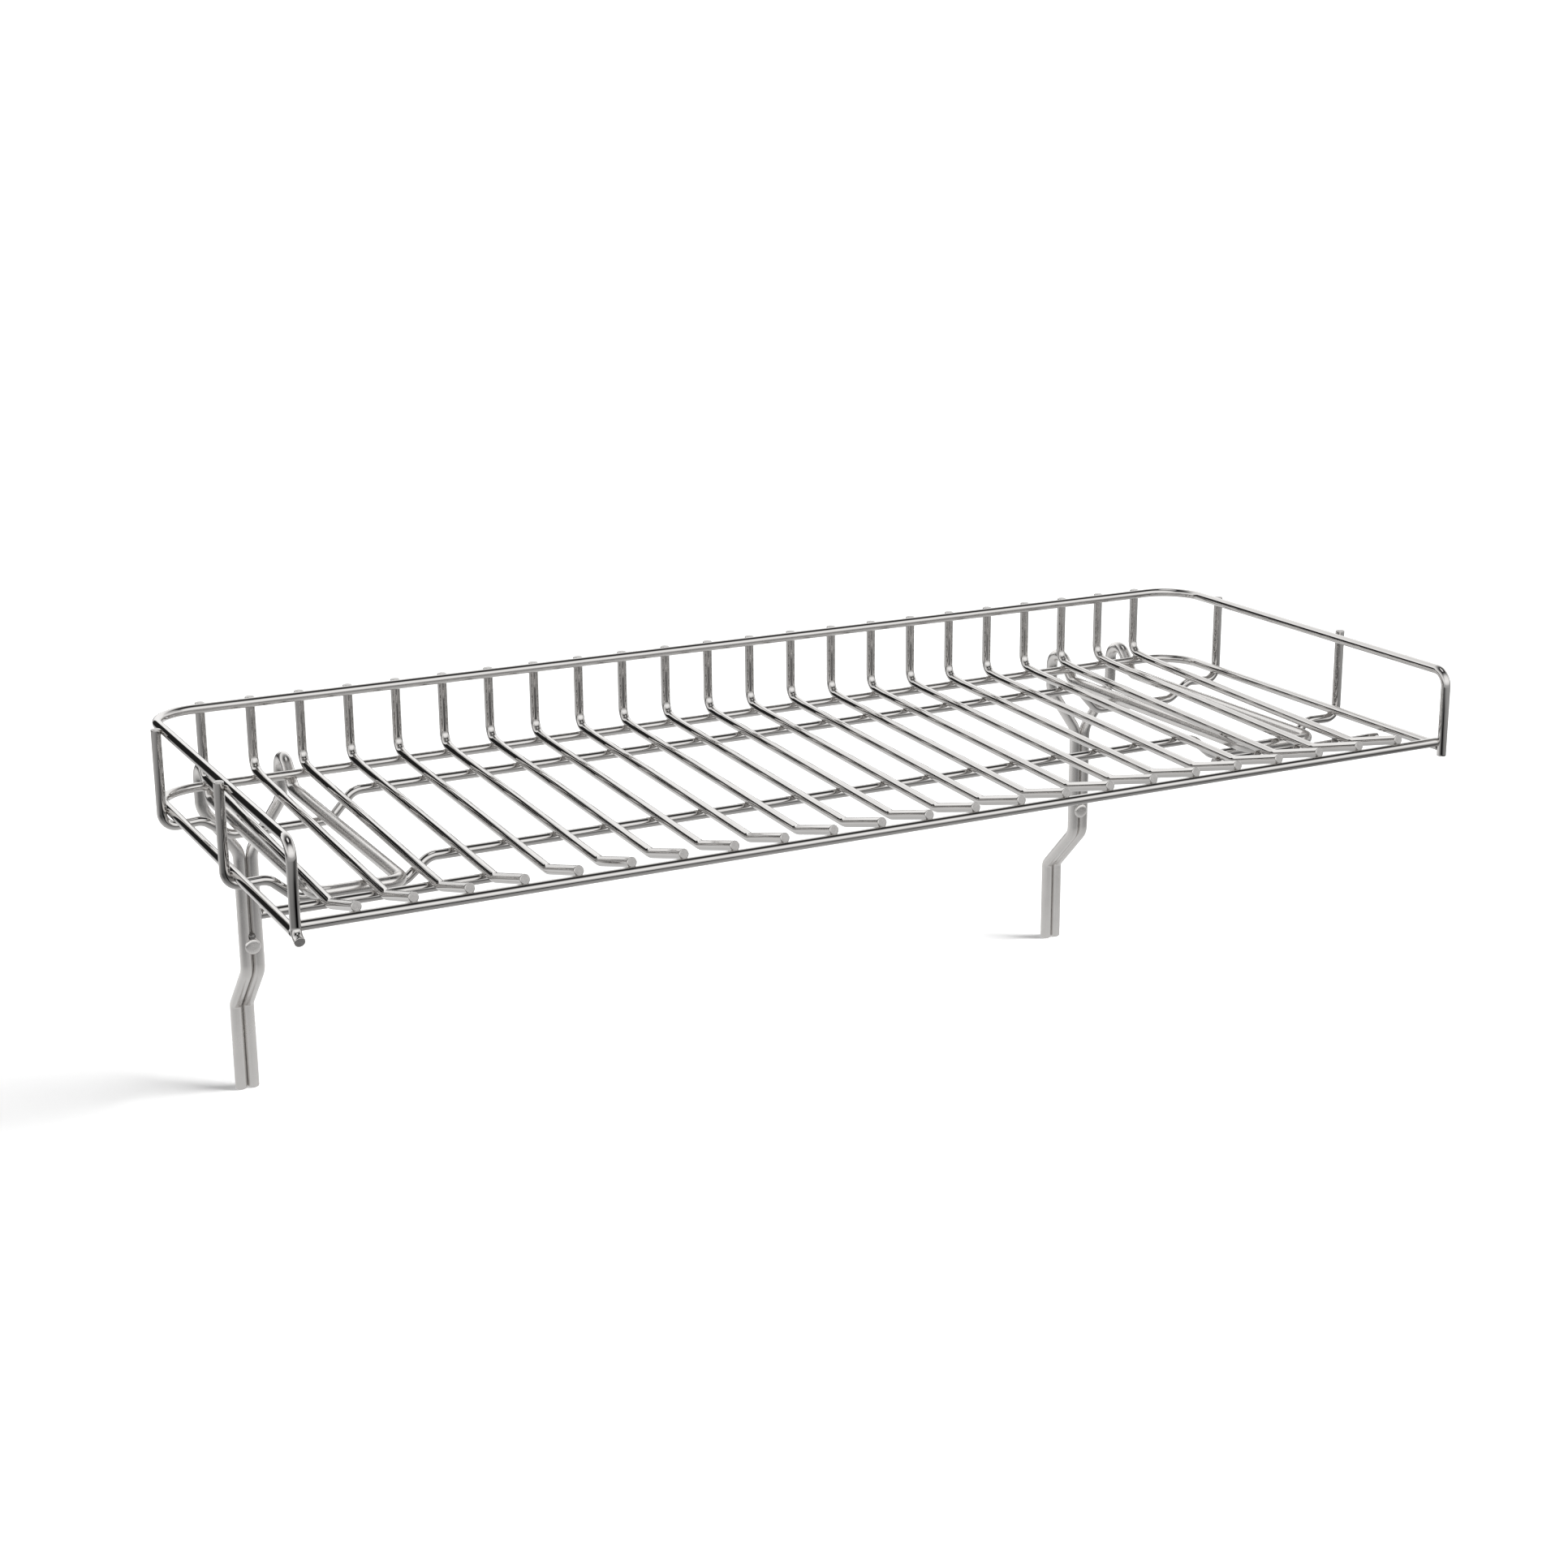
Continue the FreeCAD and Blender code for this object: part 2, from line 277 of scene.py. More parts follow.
def ranged(tree, fac, low, high, start, end):
    """low to high, while fac goes from start to end"""
    made = node(tree, "ShaderNodeMapRange")
    made.inputs["From Min"].default_value = start
    made.inputs["From Max"].default_value = end
    made.inputs["To Min"].default_value = low
    made.inputs["To Max"].default_value = high
    tree.links.new(fac, made.inputs["Value"])
    return made.outputs["Result"]


def added(tree, a, b, share):
    """a + share * b"""
    made = node(tree, "ShaderNodeMath", operation="MULTIPLY_ADD")
    tree.links.new(b, made.inputs[0])
    made.inputs[1].default_value = share
    tree.links.new(a, made.inputs[2])
    return made.outputs[0]


# How the finish is mixed from fine lines, clouds and specks.
DRAWN_LINES = 900.0                # scale of the lines across a wire
TONE_LINES = 0.35                  # share of the lines in the tone
GLOSS_SPECKS = 0.5                 # share of the specks in the gloss
GLOSS_RANGE = (0.45, 1.05)         # clouds and specks together, from clean to dull
RELIEF_SPECKS = 0.6                # share of the specks in the relief
RELIEF_DEPTH = 0.0002              # in metres

# Where the dull, middle and clean tones lie, and the faint warmth of the plating.
TONE_PLACES = (0.30, 0.62, 0.95)
WARMTH = (1.023, 1.0, 0.978)


def metal(name, tones, gloss, streak, grain, bump, grit):
    """Drawn and plated wire: tone and gloss vary, and fine lines run along the wire.

    gloss is the roughness from the clean spots to the dull ones; streak, grain and grit are the
    scales of the lines along the wire, of the clouds and of the specks.
    """
    material, tree, shader = new_material(name)
    wire = node(tree, "ShaderNodeAttribute", attribute_name="wire").outputs["Vector"]
    place = node(tree, "ShaderNodeTexCoord").outputs["Object"]
    lines = noise_field(tree, wire, 1.0, 2.0, 0.5, (streak, DRAWN_LINES, DRAWN_LINES))
    cloud = noise_field(tree, place, grain, 4.0, 0.6)
    specks = noise_field(tree, place, grit, 2.0, 0.5)
    shader.inputs["Metallic"].default_value = 1.0
    tone = added(tree, cloud, lines, TONE_LINES)
    tree.links.new(ramp(tree, tone, tones), shader.inputs["Base Color"])
    polish = added(tree, cloud, specks, GLOSS_SPECKS)
    tree.links.new(ranged(tree, polish, *gloss, *GLOSS_RANGE), shader.inputs["Roughness"])
    relief = added(tree, lines, specks, RELIEF_SPECKS)
    made = node(tree, "ShaderNodeBump", Strength=bump, Distance=RELIEF_DEPTH)
    tree.links.new(relief, made.inputs["Height"])
    tree.links.new(made.outputs["Normal"], shader.inputs["Normal"])
    return material


def greys(*values):
    """Tones for metal(), from dull to clean."""
    return [(at, tuple(value * tint for tint in WARMTH)) for at, value in zip(TONE_PLACES, values)]


CHROME = metal(
    "polished_wire",
    greys(0.57, 0.60, 0.63),
    gloss=(0.012, 0.035),
    streak=12.0,
    grain=38.0,
    bump=0.003,
    grit=400.0,
)
SHEARED = metal(
    "sheared_wire_end",
    greys(0.34, 0.42, 0.50),
    gloss=(0.24, 0.36),
    streak=900.0,
    grain=700.0,
    bump=0.10,
    grit=2600.0,
)
SATIN = metal(
    "satin_wire",
    greys(0.62, 0.70, 0.76),
    gloss=(0.20, 0.30),
    streak=10.0,
    grain=30.0,
    bump=0.004,
    grit=400.0,
)
BUTTON = metal(
    "satin_button",
    greys(0.68, 0.76, 0.82),
    gloss=(0.22, 0.34),
    streak=10.0,
    grain=160.0,
    bump=0.008,
    grit=500.0,
)
WELD = metal(
    "weld_metal",
    greys(0.10, 0.22, 0.36),
    gloss=(0.14, 0.32),
    streak=60.0,
    grain=520.0,
    bump=0.12,
    grit=1600.0,
)


# ---------------------------------------------------------------- the basket's wires

RIM_CORNER = 23.0                  # bend radius of the rims' rear corners
POST_BEND = 8.0                    # bend radius from the upper rim down into a front post
TOE = (5.5, 2.3)                   # the left post's turned end: how far forward, how far down
TOE_START = 0.3                    # where that turn begins, below the lower rim's level
TOE_BEND = 5.0
RIGHT_POST_END = 4.6               # the right post's plain end, below the lower rim's level
PEG = 2 * WIRE_R - WELD_SINK       # from a rim's centre line out to that of a peg welded to it

# A slat from the side, as (depth, rise): top and foot of its peg, the slight bend where its long
# run begins, the bend near the front, and its tip.
SLAT_EASE = (-14.0, 3.0)
SLAT_FRONT = (-199.0, -2.75)
SLAT_SIDE = [(PEG, RISE + 2.0), (PEG, 4.45), SLAT_EASE, SLAT_FRONT, (-235.0, 7.0)]
SLAT_BENDS = [7.6, 100.0, 14.0]

# The cross rails: how far their pegs stand above the upper rim, and how far below the lower rim
# their corner, the crest beside it and their long level run are.
CROSS = {
    "rear": {"depth": -35.0, "proud": 1.5, "corner": 8.0, "crest": 6.8, "level": 2.2},
    "front": {"depth": -145.5, "proud": 3.5, "corner": 5.6, "crest": 5.0, "level": 5.6},
}
DIP = 16.0                         # how far a cross rail dips under a leg's arms
DIP_STEPS = (15.2, 27.9, 78.7, 91.4)    # crest, dip and level run, inward from the side rim
CROSS_BENDS = [7.0, 9.0, 9.0, 9.0, 9.0]


def shelf_wire(name, corners, bends):
    return wire_piece(
        name, corners, bends, (CUT_END, CUT_END), WIRE_R, [CHROME, SHEARED], "shelf"
    )


def middle_line(low, high):
    """y and z of a straight sideways wire's centre line, from its box."""
    return (low[1] + high[1]) / 2, (low[2] + high[2]) / 2


LO_FRONT = LO_LOW[1] - REAR
shelf_wire(
    "lower_rim",
    [
        basket(-HALF, LO_FRONT, 0),
        basket(-HALF, 0, 0),
        basket(HALF, 0, 0),
        basket(HALF, LO_FRONT, 0),
    ],
    [RIM_CORNER] * 2,
)
shelf_wire(
    "upper_rim",
    [
        basket(-HALF, POST - TOE[0], -TOE[1]),
        basket(-HALF, POST, -TOE_START),
        basket(-HALF, POST, RISE),
        basket(-HALF, 0, RISE),
        basket(HALF, 0, RISE),
        basket(HALF, POST, RISE),
        basket(HALF, POST, -RIGHT_POST_END),
    ],
    [TOE_BEND, POST_BEND, RIM_CORNER, RIM_CORNER, POST_BEND],
)
rail_y, rail_z = middle_line(FR_LOW, FR_HIGH)
shelf_wire("front_rail", [Vector((x, rail_y, rail_z)) for x in (FR_LOW[0], FR_HIGH[0])], [])

for number, x in enumerate(SLAT_X, start=1):
    corners = [basket(x, depth, rise) for depth, rise in SLAT_SIDE]
    shelf_wire("slat_%02d" % number, corners, SLAT_BENDS)

for name, at in CROSS.items():
    crest, dip_out, dip_in, level = DIP_STEPS
    half = [
        (HALF + PEG, RISE + at["proud"]),
        (HALF + PEG, -at["corner"]),
        (HALF - crest, -at["crest"]),
        (HALF - dip_out, -DIP),
        (HALF - dip_in, -DIP),
        (HALF - level, -at["level"]),
    ]
    line = [(-x, rise) for x, rise in half] + half[::-1]
    corners = [basket(x, at["depth"], rise) for x, rise in line]
    shelf_wire(name + "_cross_rail", corners, CROSS_BENDS + CROSS_BENDS[::-1])

for side in ("left", "right"):
    low, high = box_mm(side + "_stop_rail")
    y, z = middle_line(low, high)
    shelf_wire(side + "_stop_rail", [Vector((low[0], y, z)), Vector((high[0], y, z))], [])


# ---------------------------------------------------------------- the legs

TWIN = 3.25                        # the twin wires' centre lines, from the leg's middle
LIMB = 20.9                        # the limbs' and arms' centre lines, from the leg's middle
SHANK_Y = -27.4                    # the shank stands this far in front of the foot
JOG = (48.5, 76.0)                 # heights of the jog's lower and upper end
SPLIT = (141.0, 167.0)             # heights where the twin wires part and where they stand apart
ARCH_RISE = 19.1                   # crown of the arch behind the rear rail, above the lower rim
ARM_DROP = 7.8                     # the arms' level below the lower rim
ARM_START = 1.2                    # where the arch meets the arm, behind the rear rims
LEG_BENDS = [4.5, 9.0, 13.0, 13.0, 8.0, 8.0, 7.5]

BUTTON_FACETS = 48
# The button from the side, as (distance behind its face, how much smaller than its radius),
# from its foot in the groove to the middle of its face.
BUTTON_FOOT = [(0.0, 0.6), (0.2, 0.1)]
BUTTON_FACE = [(1.2, 0.0), (0.75, 0.08), (0.35, 0.4), (0.10, 1.0), (0.0, 2.0)]
BUTTON_CENTRE = 1.2                # radius of the flat middle of its face


def leg(side):
    low, high = box_mm(side + "_leg")
    middle = (low[0] + high[0]) / 2
    arm = LEVEL - ARM_DROP
    crossbar = low[1] + LEG_WIRE_R
    half = [
        (TWIN, 0.0, 0.0),
        (TWIN, 0.0, JOG[0]),
        (TWIN, SHANK_Y, JOG[1]),
        (TWIN, SHANK_Y, SPLIT[0]),
        (LIMB, SHANK_Y, SPLIT[1]),
        (LIMB, SHANK_Y, LEVEL + ARCH_RISE),
        (LIMB, REAR + ARM_START, arm),
        (LIMB, crossbar, arm),
    ]
    left = [Vector((middle - x, y, z)) for x, y, z in half]
    right = [Vector((middle + x, y, z)) for x, y, z in half]
    wire_piece(
        side + "_leg",
        left + right[::-1],
        LEG_BENDS + LEG_BENDS[::-1],
        (ROUND_END, ROUND_END),
        LEG_WIRE_R,
        [SATIN, SATIN],
        side + "_leg",
    )


def button(side):
    """A low round boss with a soft edge, in the groove between the twin wires."""
    leg_low, leg_high = box_mm(side + "_leg")
    low, high = box_mm(side + "_button")
    middle = (leg_low[0] + leg_high[0]) / 2
    height = (high[2] + low[2]) / 2
    radius = (high[0] - low[0]) / 2
    thickness = high[1] - low[1]
    profile = [(thickness - ahead, radius - less) for ahead, less in BUTTON_FOOT]
    profile += [(back, radius - less) for back, less in BUTTON_FACE]
    profile.append((0.0, BUTTON_CENTRE))
    bm = bmesh.new()
    layer = bm.verts.layers.float_vector.new("wire")
    loops = []
    for back, ring_radius in profile:
        loop = []
        for k in range(BUTTON_FACETS):
            angle = 2 * math.pi * k / BUTTON_FACETS
            x = middle + ring_radius * math.cos(angle)
            z = height + ring_radius * math.sin(angle)
            vert = bm.verts.new(Vector((x, low[1] + back, z)) * MM)
            vert[layer] = Vector((angle * ring_radius * MM, back * MM, ring_radius * MM))
            loop.append(vert)
        loops.append(loop)
    skin(bm, loops)
    bm.faces.new(loops[0])
    bm.faces.new(loops[-1])
    finish_mesh(side + "_button", bm, [BUTTON], side + "_leg", [side + "_button"])


for side in ("left", "right"):
    leg(side)
    button(side)


# ---------------------------------------------------------------- weld beads

# Half sizes of the beads along x, y and z.
UPPER_BEAD = (2.0, 0.8, 2.0)           # slat peg on the upper rim
LOWER_BEAD = (2.2, 2.0, 0.8)           # slat on the lower rim
TIP_BEAD = (1.9, 1.5, 1.0)             # slat tip on the front rail
CROSS_BEAD = (2.1, 2.1, 0.9)           # slat on a cross rail
SIDE_PEG_BEAD = (0.8, 2.0, 2.0)        # cross rail's peg on the upper rim
SIDE_RIM_BEAD = (1.4, 2.2, 1.3)        # cross rail on the lower rim
STOP_BEAD = (2.1, 2.0, 0.9)            # slat on a stop rail
POST_REAR_BEAD = (2.2, 1.5, 2.6)       # lower rim on a front post
POST_SIDE_BEAD = (1.7, 1.9, 2.2)       # front rail on a front post
LEG_BEAD = (1.5, 1.2, 1.5)             # dot above a leg's button
# Where their middles are, beside the place where two centre lines cross.
LOWER_SPOT = (0.3, 2.3)                # depth, rise
TIP_SPOT = (-234.2, 4.8)               # depth, rise
SIDE_RIM_SPOT = (1.6, -2.0)            # outward from the side rim, rise
POST_REAR_SPOT = (1.9, 0.2)            # behind the post, rise
POST_SIDE_SPOT = (1.9, 2.0, 2.6)       # inward from the post, behind it, rise
LEG_SPOT = (1.5, 0.9)                  # behind the button's face, above its edge
SWELL = 0.22                           # how uneven the beads are, coarse and fine
RIPPLE = 0.07
BEAD_SHIFT = (7.31, 3.77, 1.93)        # from one bead's unevenness to the next one's
STOP_SLATS = 4                         # slats over each stop rail
CROSS_SKIP = 3                         # slats at each end that pass over the cross rails' dips


def add_bead(bm, layer, centre, size, seed):
    """A small uneven blob."""
    before = set(bm.verts)
    bmesh.ops.create_icosphere(bm, subdivisions=3, radius=1.0)
    shift = Vector([seed * step for step in BEAD_SHIFT])
    for vert in set(bm.verts) - before:
        way = vert.co.normalized()
        swell = 1.0 + SWELL * noise.noise(way * 1.7 + shift) + RIPPLE * noise.noise(way * 5.1 + shift)
        local = Vector((way.x * size[0], way.y * size[1], way.z * size[2])) * swell
        vert.co = (centre + local) * MM
        vert[layer] = vert.co


def beads(name, places, body):
    """One piece with a bead at each (centre, half sizes)."""
    bm = bmesh.new()
    layer = bm.verts.layers.float_vector.new("wire")
    for index, (centre, size) in enumerate(places):
        add_bead(bm, layer, centre, size, index + len(name))
    return finish_mesh(name, bm, [WELD], body, [])


def slat_rise(depth):
    """Rise of a slat's centre line at a depth on its long run."""
    share = (depth - SLAT_EASE[0]) / (SLAT_FRONT[0] - SLAT_EASE[0])
    return SLAT_EASE[1] + share * (SLAT_FRONT[1] - SLAT_EASE[1])


touch = WIRE_R - WELD_SINK / 2     # from a wire's centre line to where a welded wire touches it
beads("upper_rim_welds", [(basket(x, touch, RISE), UPPER_BEAD) for x in SLAT_X], "shelf")
beads("lower_rim_welds", [(basket(x, *LOWER_SPOT), LOWER_BEAD) for x in SLAT_X], "shelf")
beads("front_rail_welds", [(basket(x, *TIP_SPOT), TIP_BEAD) for x in SLAT_X], "shelf")

for name, at in CROSS.items():
    places = []
    between = (slat_rise(at["depth"]) - at["level"]) / 2
    for x in SLAT_X[CROSS_SKIP:-CROSS_SKIP]:
        places.append((basket(x, at["depth"], between), CROSS_BEAD))
    for sign in (-1, 1):
        places.append((basket(sign * (HALF + touch), at["depth"], RISE), SIDE_PEG_BEAD))
        outward, rise = SIDE_RIM_SPOT
        places.append((basket(sign * (HALF + outward), at["depth"], rise), SIDE_RIM_BEAD))
    beads(name + "_cross_welds", places, "shelf")

places = []
for side, chosen in (("left", SLAT_X[:STOP_SLATS]), ("right", SLAT_X[-STOP_SLATS:])):
    y, z = middle_line(*box_mm(side + "_stop_rail"))
    for x in chosen:
        places.append((Vector((x, y, z + touch)), STOP_BEAD))
beads("stop_rail_welds", places, "shelf")

places = []
for sign in (-1, 1):
    behind, rise = POST_REAR_SPOT
    places.append((basket(sign * HALF, POST + behind, rise), POST_REAR_BEAD))
    inward, behind, rise = POST_SIDE_SPOT
    places.append((basket(sign * (HALF - inward), POST + behind, rise), POST_SIDE_BEAD))
beads("front_corner_welds", places, "shelf")

for side in ("left", "right"):
    low, high = box_mm(side + "_button")
    behind, over = LEG_SPOT
    dot = Vector(((low[0] + high[0]) / 2, low[1] + behind, high[2] + over))
    beads(side + "_leg_weld", [(dot, LEG_BEAD)], side + "_leg")


# ---------------------------------------------------------------- helpers for the studio's shaders

WHITE = (1.0, 1.0, 1.0, 1.0)


def grey(value):
    return (value, value, value)


def math_node(tree, operation, *inputs):
    """A Math node whose inputs are sockets or numbers."""
    made = node(tree, "ShaderNodeMath", operation=operation)
    for socket, value in zip(made.inputs, inputs):
        if isinstance(value, float):
            socket.default_value = value
        else:
            tree.links.new(value, socket)
    return made.outputs[0]


def coloured(tree, kind, colour, strength):
    """An Emission or Background shader whose colour is a socket or a tuple."""
    made = node(tree, kind, Strength=strength)
    if isinstance(colour, tuple):
        made.inputs["Color"].default_value = colour
    else:
        tree.links.new(colour, made.inputs["Color"])
    return made.outputs[0]


def glow(tree, colour, strength):
    return coloured(tree, "ShaderNodeEmission", colour, strength)


def background(tree, colour, strength):
    return coloured(tree, "ShaderNodeBackground", colour, strength)


def chosen_by(tree, fac, first, second):
    """The first shader where fac is 0 and the second where it is 1."""
    made = node(tree, "ShaderNodeMixShader")
    tree.links.new(fac, made.inputs[0])
    tree.links.new(first, made.inputs[1])
    tree.links.new(second, made.inputs[2])
    return made.outputs[0]


def blend(tree, fac, first, second, blend_type="MIX"):
    made = node(tree, "ShaderNodeMix", data_type="RGBA", blend_type=blend_type)
    if isinstance(fac, float):
        made.inputs[0].default_value = fac
    else:
        tree.links.new(fac, made.inputs[0])
    tree.links.new(first, made.inputs[6])
    tree.links.new(second, made.inputs[7])
    return made.outputs[2]


def distance_from(tree, place, x, y, squeeze=1.0):
    """Distance on the floor from a point, as a socket; x counts less where it is squeezed."""
    shift = node(tree, "ShaderNodeMapping")
    shift.inputs["Scale"].default_value = (squeeze, 1.0, 1.0)
    shift.inputs["Location"].default_value = (-x * squeeze, -y, 0.0)
    tree.links.new(place, shift.inputs["Vector"])
    length = node(tree, "ShaderNodeVectorMath", operation="LENGTH")
    tree.links.new(shift.outputs["Vector"], length.inputs[0])
    return length.outputs["Value"]


def stage_plane(name, material_name, corners):
    """A flat sheet of the studio with an empty material, the material's tree and its output."""
    mesh = bpy.data.meshes.new(name)
    mesh.from_pydata(corners, [], [(0, 1, 2, 3)])
    plane = bpy.data.objects.new(name, mesh)
    bpy.context.scene.collection.objects.link(plane)
    material = bpy.data.materials.new(material_name)
    material.use_nodes = True
    mesh.materials.append(material)
    tree = material.node_tree
    tree.nodes.clear()
    return plane, tree, node(tree, "ShaderNodeOutputMaterial")


# ---------------------------------------------------------------- the floor

# The camera sees a plain pale floor. Reflections in the metal see the floor glow with painted greys of a
# studio instead, as a painted reflection: values by distance from the rack, in front of it and behind
# it.
FLOOR_HALF = 80.0
FLOOR_GLOW = 0.31
FLOOR_COLOUR = (0.9, 0.9, 0.9, 1.0)
SIGHT = 4.0                        # the values end at this distance
FLOOR_MIDDLE = (0.0, -0.16)        # distances are counted from here
FRONT_FLOOR = [
    (0.0, 0.46),
    (0.2, 0.42),
    (0.38, 0.32),
    (0.58, 0.10),
    (0.80, 0.10),
    (0.95, 0.30),
    (1.15, 0.42),
    (1.6, 0.50),
    (SIGHT, 0.56),
]
REAR_FLOOR = [
    (0.0, 0.84),
    (0.50, 0.84),
    (0.8, 0.66),
    (1.1, 0.50),
    (1.4, 0.30),
    (2.0, 0.10),
    (SIGHT, 0.05),
]
REARWARD = (-0.35, 0.15)           # from the front values to the rear ones between these y
# A painted dark patch on the floor in front of the rack, which only reflections show, longer from left
# to right.
PATCH_MIDDLE = (-0.12, -0.79)
PATCH_SQUEEZE = 0.5
PATCH = [(0.0, 0.01), (0.09, 0.01), (0.18, 1.0), (1.0, 1.0)]

floor, tree, out = stage_plane(
    "floor",
    "pale_floor",
    [
        (-FLOOR_HALF, -FLOOR_HALF, 0),
        (FLOOR_HALF, -FLOOR_HALF, 0),
        (FLOOR_HALF, FLOOR_HALF, 0),
        (-FLOOR_HALF, FLOOR_HALF, 0),
    ],
)
ray = node(tree, "ShaderNodeLightPath")
place = node(tree, "ShaderNodeTexCoord").outputs["Object"]
split = node(tree, "ShaderNodeSeparateXYZ")
tree.links.new(place, split.inputs[0])
away = ranged(tree, distance_from(tree, place, *FLOOR_MIDDLE), 0.0, 1.0, 0.0, SIGHT)
front_floor = ramp(tree, away, [(distance / SIGHT, grey(value)) for distance, value in FRONT_FLOOR])
rear_floor = ramp(tree, away, [(distance / SIGHT, grey(value)) for distance, value in REAR_FLOOR])
rearward = ranged(tree, split.outputs["Y"], 0.0, 1.0, *REARWARD)
patch = ramp(
    tree,
    distance_from(tree, place, *PATCH_MIDDLE, PATCH_SQUEEZE),
    [(distance, grey(value)) for distance, value in PATCH],
)
mirrored = blend(tree, 1.0, blend(tree, rearward, front_floor, rear_floor), patch, "MULTIPLY")
lit = node(tree, "ShaderNodeBsdfDiffuse", Color=FLOOR_COLOUR)
both = node(tree, "ShaderNodeAddShader")
tree.links.new(glow(tree, WHITE, FLOOR_GLOW), both.inputs[0])
tree.links.new(lit.outputs[0], both.inputs[1])
# Reflection rays see the painted greys as a glow; the camera and the other rays see the plain lit floor.
shown = chosen_by(tree, ray.outputs["Is Glossy Ray"], both.outputs[0], glow(tree, mirrored, 1.0))
tree.links.new(shown, out.inputs["Surface"])


# ---------------------------------------------------------------- the dark card

# It stands behind the rack and to its left, with soft edges, and only reflections show it.
CARD_Y = 1.0
CARD_LEFT, CARD_RIGHT, CARD_TOP = -1.4, 0.0, 1.1
CARD_GLOW = 0.02
LEFT_FADE = (-1.25, -1.05)
RIGHT_FADE = (-0.60, -0.50)
LEAN = -0.4                        # the right edge leans by this much of its height
LOW_FADE = (0.02, 0.10)
HIGH_FADE = (0.88, 0.95)
SLOPE = -0.2                       # the upper edge slopes by this much of its length

card, tree, out = stage_plane(
    "dark_card",
    "dark_card",
    [
        (CARD_LEFT, CARD_Y, 0.0),
        (CARD_RIGHT, CARD_Y, 0.0),
        (CARD_RIGHT, CARD_Y, CARD_TOP),
        (CARD_LEFT, CARD_Y, CARD_TOP),
    ],
)
card.visible_camera = False
card.visible_diffuse = False
card.visible_shadow = False
split = node(tree, "ShaderNodeSeparateXYZ")
tree.links.new(node(tree, "ShaderNodeTexCoord").outputs["Object"], split.inputs[0])
x, z = split.outputs["X"], split.outputs["Z"]
left_edge = ranged(tree, x, 0.0, 1.0, *LEFT_FADE)
right_edge = ranged(tree, added(tree, x, z, LEAN), 1.0, 0.0, *RIGHT_FADE)
low_edge = ranged(tree, z, 0.0, 1.0, *LOW_FADE)
high_edge = ranged(tree, added(tree, z, x, SLOPE), 1.0, 0.0, *HIGH_FADE)
across = math_node(tree, "MULTIPLY", left_edge, right_edge)
upward = math_node(tree, "MULTIPLY", low_edge, high_edge)
shade = math_node(tree, "MULTIPLY", across, upward)
through = node(tree, "ShaderNodeBsdfTransparent")
shown = chosen_by(tree, shade, through.outputs[0], glow(tree, WHITE, CARD_GLOW))
tree.links.new(shown, out.inputs["Surface"])


# ---------------------------------------------------------------- the sky

# What reflections show above the floor: values by angle, in degrees, from the horizon in front (0)
# over the top (90) to the horizon behind (180).
SKY = [
    (0, 0.62),
    (6, 0.90),
    (14, 1.15),
    (24, 1.32),
    (44, 1.22),
    (54, 0.95),
    (63, 0.42),
    (71, 0.08),
    (80, 0.03),
    (102, 0.03),
    (112, 0.16),
    (122, 0.50),
    (134, 1.00),
    (150, 1.30),
    (168, 1.25),
    (180, 1.00),
]
# To the left and right the studio is paler, by height, and there is a pale patch overhead.
SIDE_SKY = [(0.0, 0.62), (0.10, 0.95), (0.28, 1.15), (0.42, 0.80), (0.55, 0.55), (0.75, 0.75)]
SIDE_FADE = (0.66, 0.78)           # sideways part of the direction where the sides take over
OVERHEAD = 1.1
OVERHEAD_FADE = (0.966, 0.98)      # upward part of the direction where the patch begins
SKY_TOP = 1.4                      # the ramps hold values up to 1, so they are divided by this
SOFT_LIGHT = 0.10                  # light on the floor from all sides
BACKDROP = 1.1                     # what the camera sees

world = bpy.data.worlds.new("studio")
bpy.context.scene.world = world
world.use_nodes = True
tree = world.node_tree
tree.nodes.clear()
out = node(tree, "ShaderNodeOutputWorld")
ray = node(tree, "ShaderNodeLightPath")
parts = node(tree, "ShaderNodeSeparateXYZ")
tree.links.new(node(tree, "ShaderNodeTexCoord").outputs["Generated"], parts.inputs[0])
x, y, z = (parts.outputs[axis] for axis in "XYZ")
pitch = math_node(tree, "ARCTAN2", z, math_node(tree, "MULTIPLY", y, -1.0))
around = ranged(tree, pitch, 0.0, 1.0, 0.0, math.pi)
sky = ramp(tree, around, [(degrees / 180.0, grey(value / SKY_TOP)) for degrees, value in SKY])
side_sky = ramp(tree, z, [(height, grey(value / SKY_TOP)) for height, value in SIDE_SKY])
sideways = ranged(tree, math_node(tree, "ABSOLUTE", x), 0.0, 1.0, *SIDE_FADE)
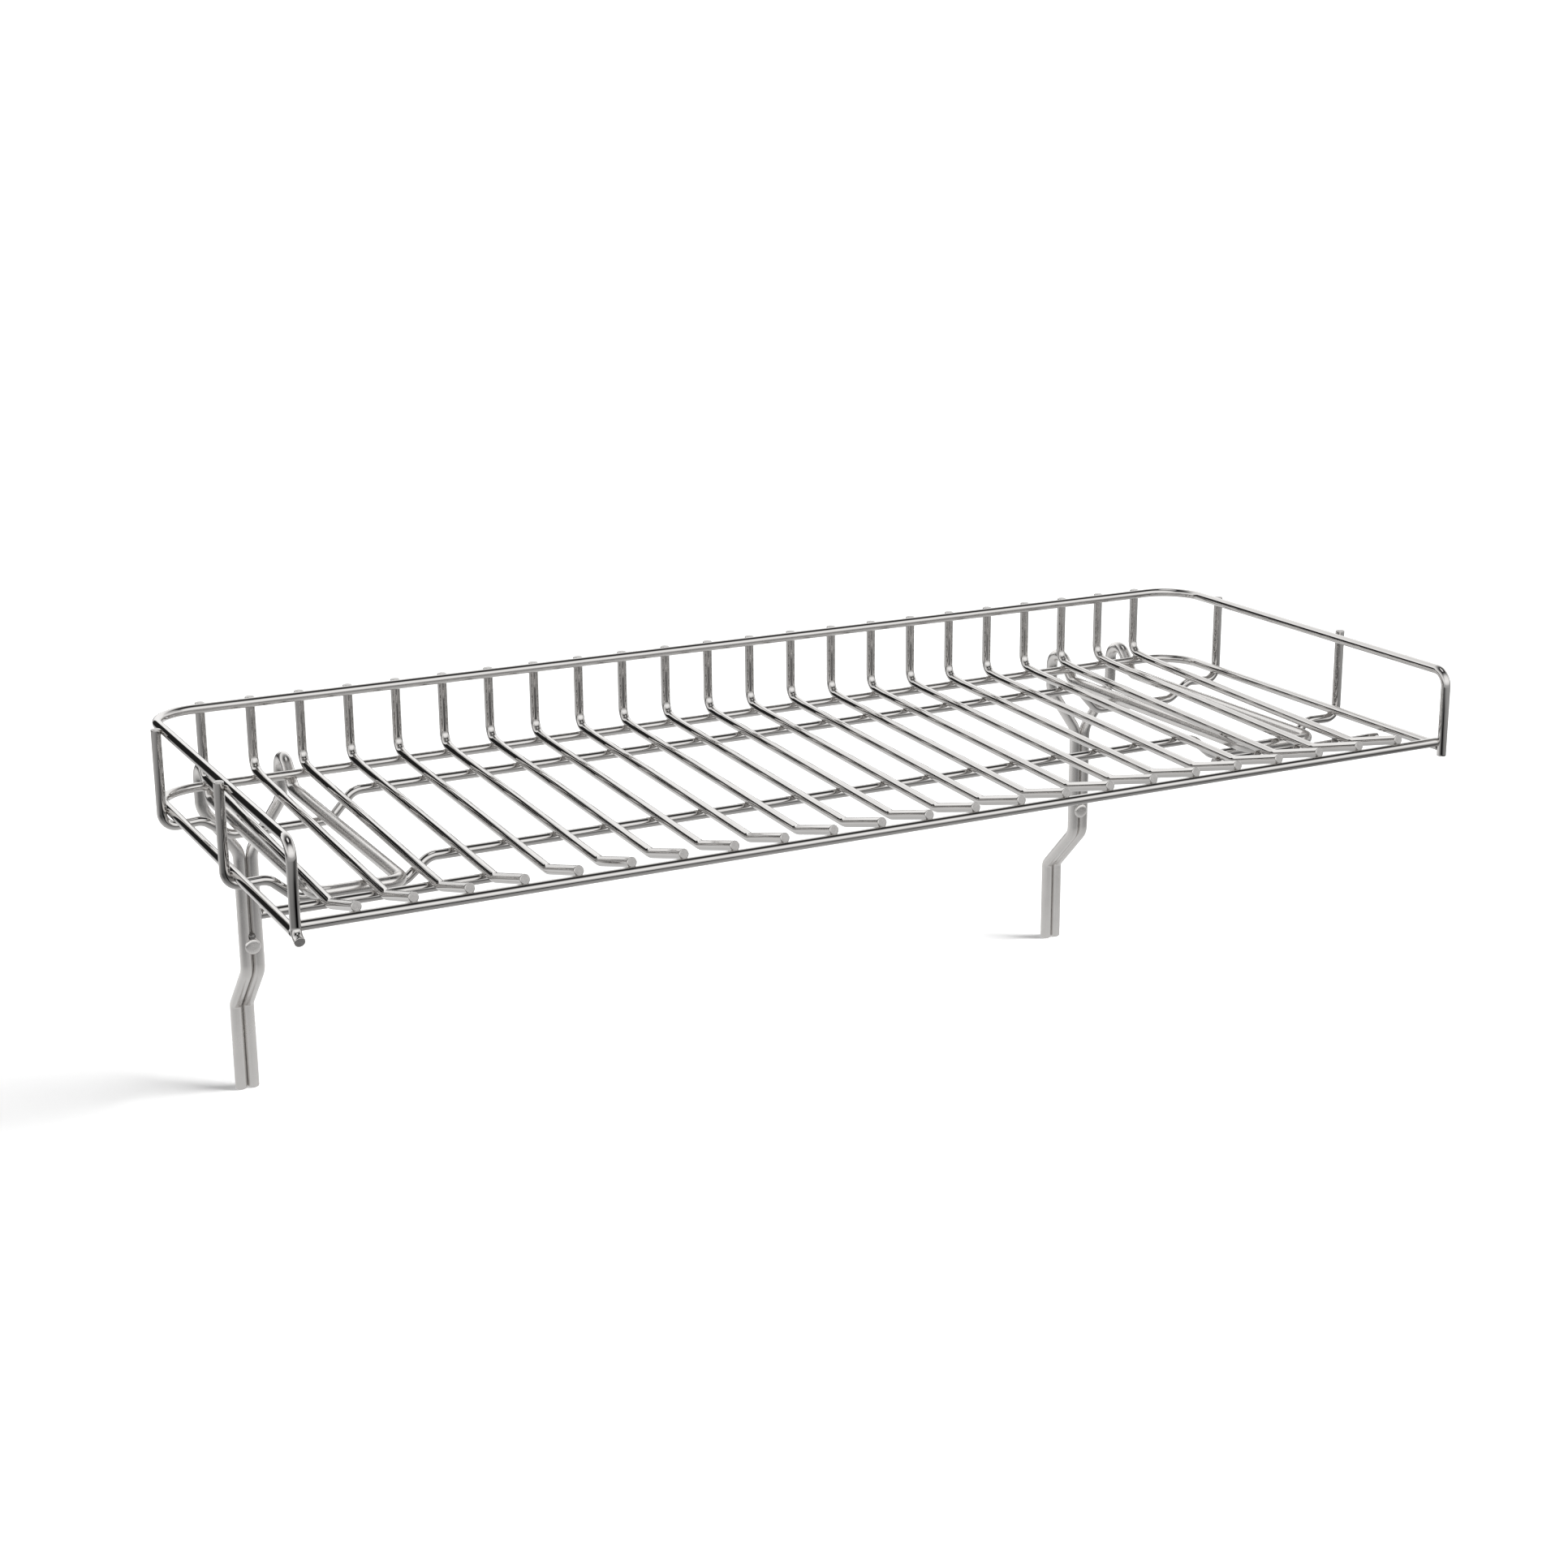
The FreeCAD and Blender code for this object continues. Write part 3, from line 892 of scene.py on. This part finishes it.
zenith = node(tree, "ShaderNodeRGB").outputs[0]
zenith.default_value = (*grey(OVERHEAD / SKY_TOP), 1.0)
sky = blend(tree, sideways, sky, side_sky)
sky = blend(tree, ranged(tree, z, 0.0, 1.0, *OVERHEAD_FADE), sky, zenith)
soft = background(tree, WHITE, SOFT_LIGHT)
unseen = chosen_by(tree, ray.outputs["Is Glossy Ray"], soft, background(tree, sky, SKY_TOP))
shown = chosen_by(tree, ray.outputs["Is Camera Ray"], unseen, background(tree, WHITE, BACKDROP))
tree.links.new(shown, out.inputs["Surface"])


# ---------------------------------------------------------------- key light and camera

KEY_FROM = Vector((0.80, -0.41, 0.45))     # direction towards the light
KEY_ENERGY = 7.8
KEY_ANGLE = math.radians(34)               # a wide light, for soft shadows
key = bpy.data.objects.new("key", bpy.data.lights.new("key", "SUN"))
key.data.energy = KEY_ENERGY
key.data.angle = KEY_ANGLE
key.rotation_euler = KEY_FROM.to_track_quat("Z", "Y").to_euler()
key.visible_glossy = False
bpy.context.scene.collection.objects.link(key)

bpy.context.scene.view_settings.view_transform = "Standard"
bpy.context.scene.view_settings.look = "None"

AZIMUTH, ELEVATION, ROLL = math.radians(27.16), math.radians(16.12), -0.007
CAMERA_PLACE = (-0.5937, -1.2939, 0.5453)
LENS, SENSOR = 59.81, 36.0
forward = Vector(
    (
        math.sin(AZIMUTH) * math.cos(ELEVATION),
        math.cos(AZIMUTH) * math.cos(ELEVATION),
        -math.sin(ELEVATION),
    )
)
right = Vector((math.cos(AZIMUTH), -math.sin(AZIMUTH), 0.0))
above = right.cross(forward)
turned_right = right * math.cos(ROLL) + above * math.sin(ROLL)
turned_up = above * math.cos(ROLL) - right * math.sin(ROLL)
camera = bpy.data.objects.new("camera", bpy.data.cameras.new("camera"))
camera.data.lens = LENS
camera.data.sensor_width = SENSOR
axes = Matrix((turned_right, turned_up, -forward)).transposed()
camera.matrix_world = Matrix.Translation(CAMERA_PLACE) @ axes.to_4x4()
bpy.context.scene.collection.objects.link(camera)
bpy.context.scene.camera = camera
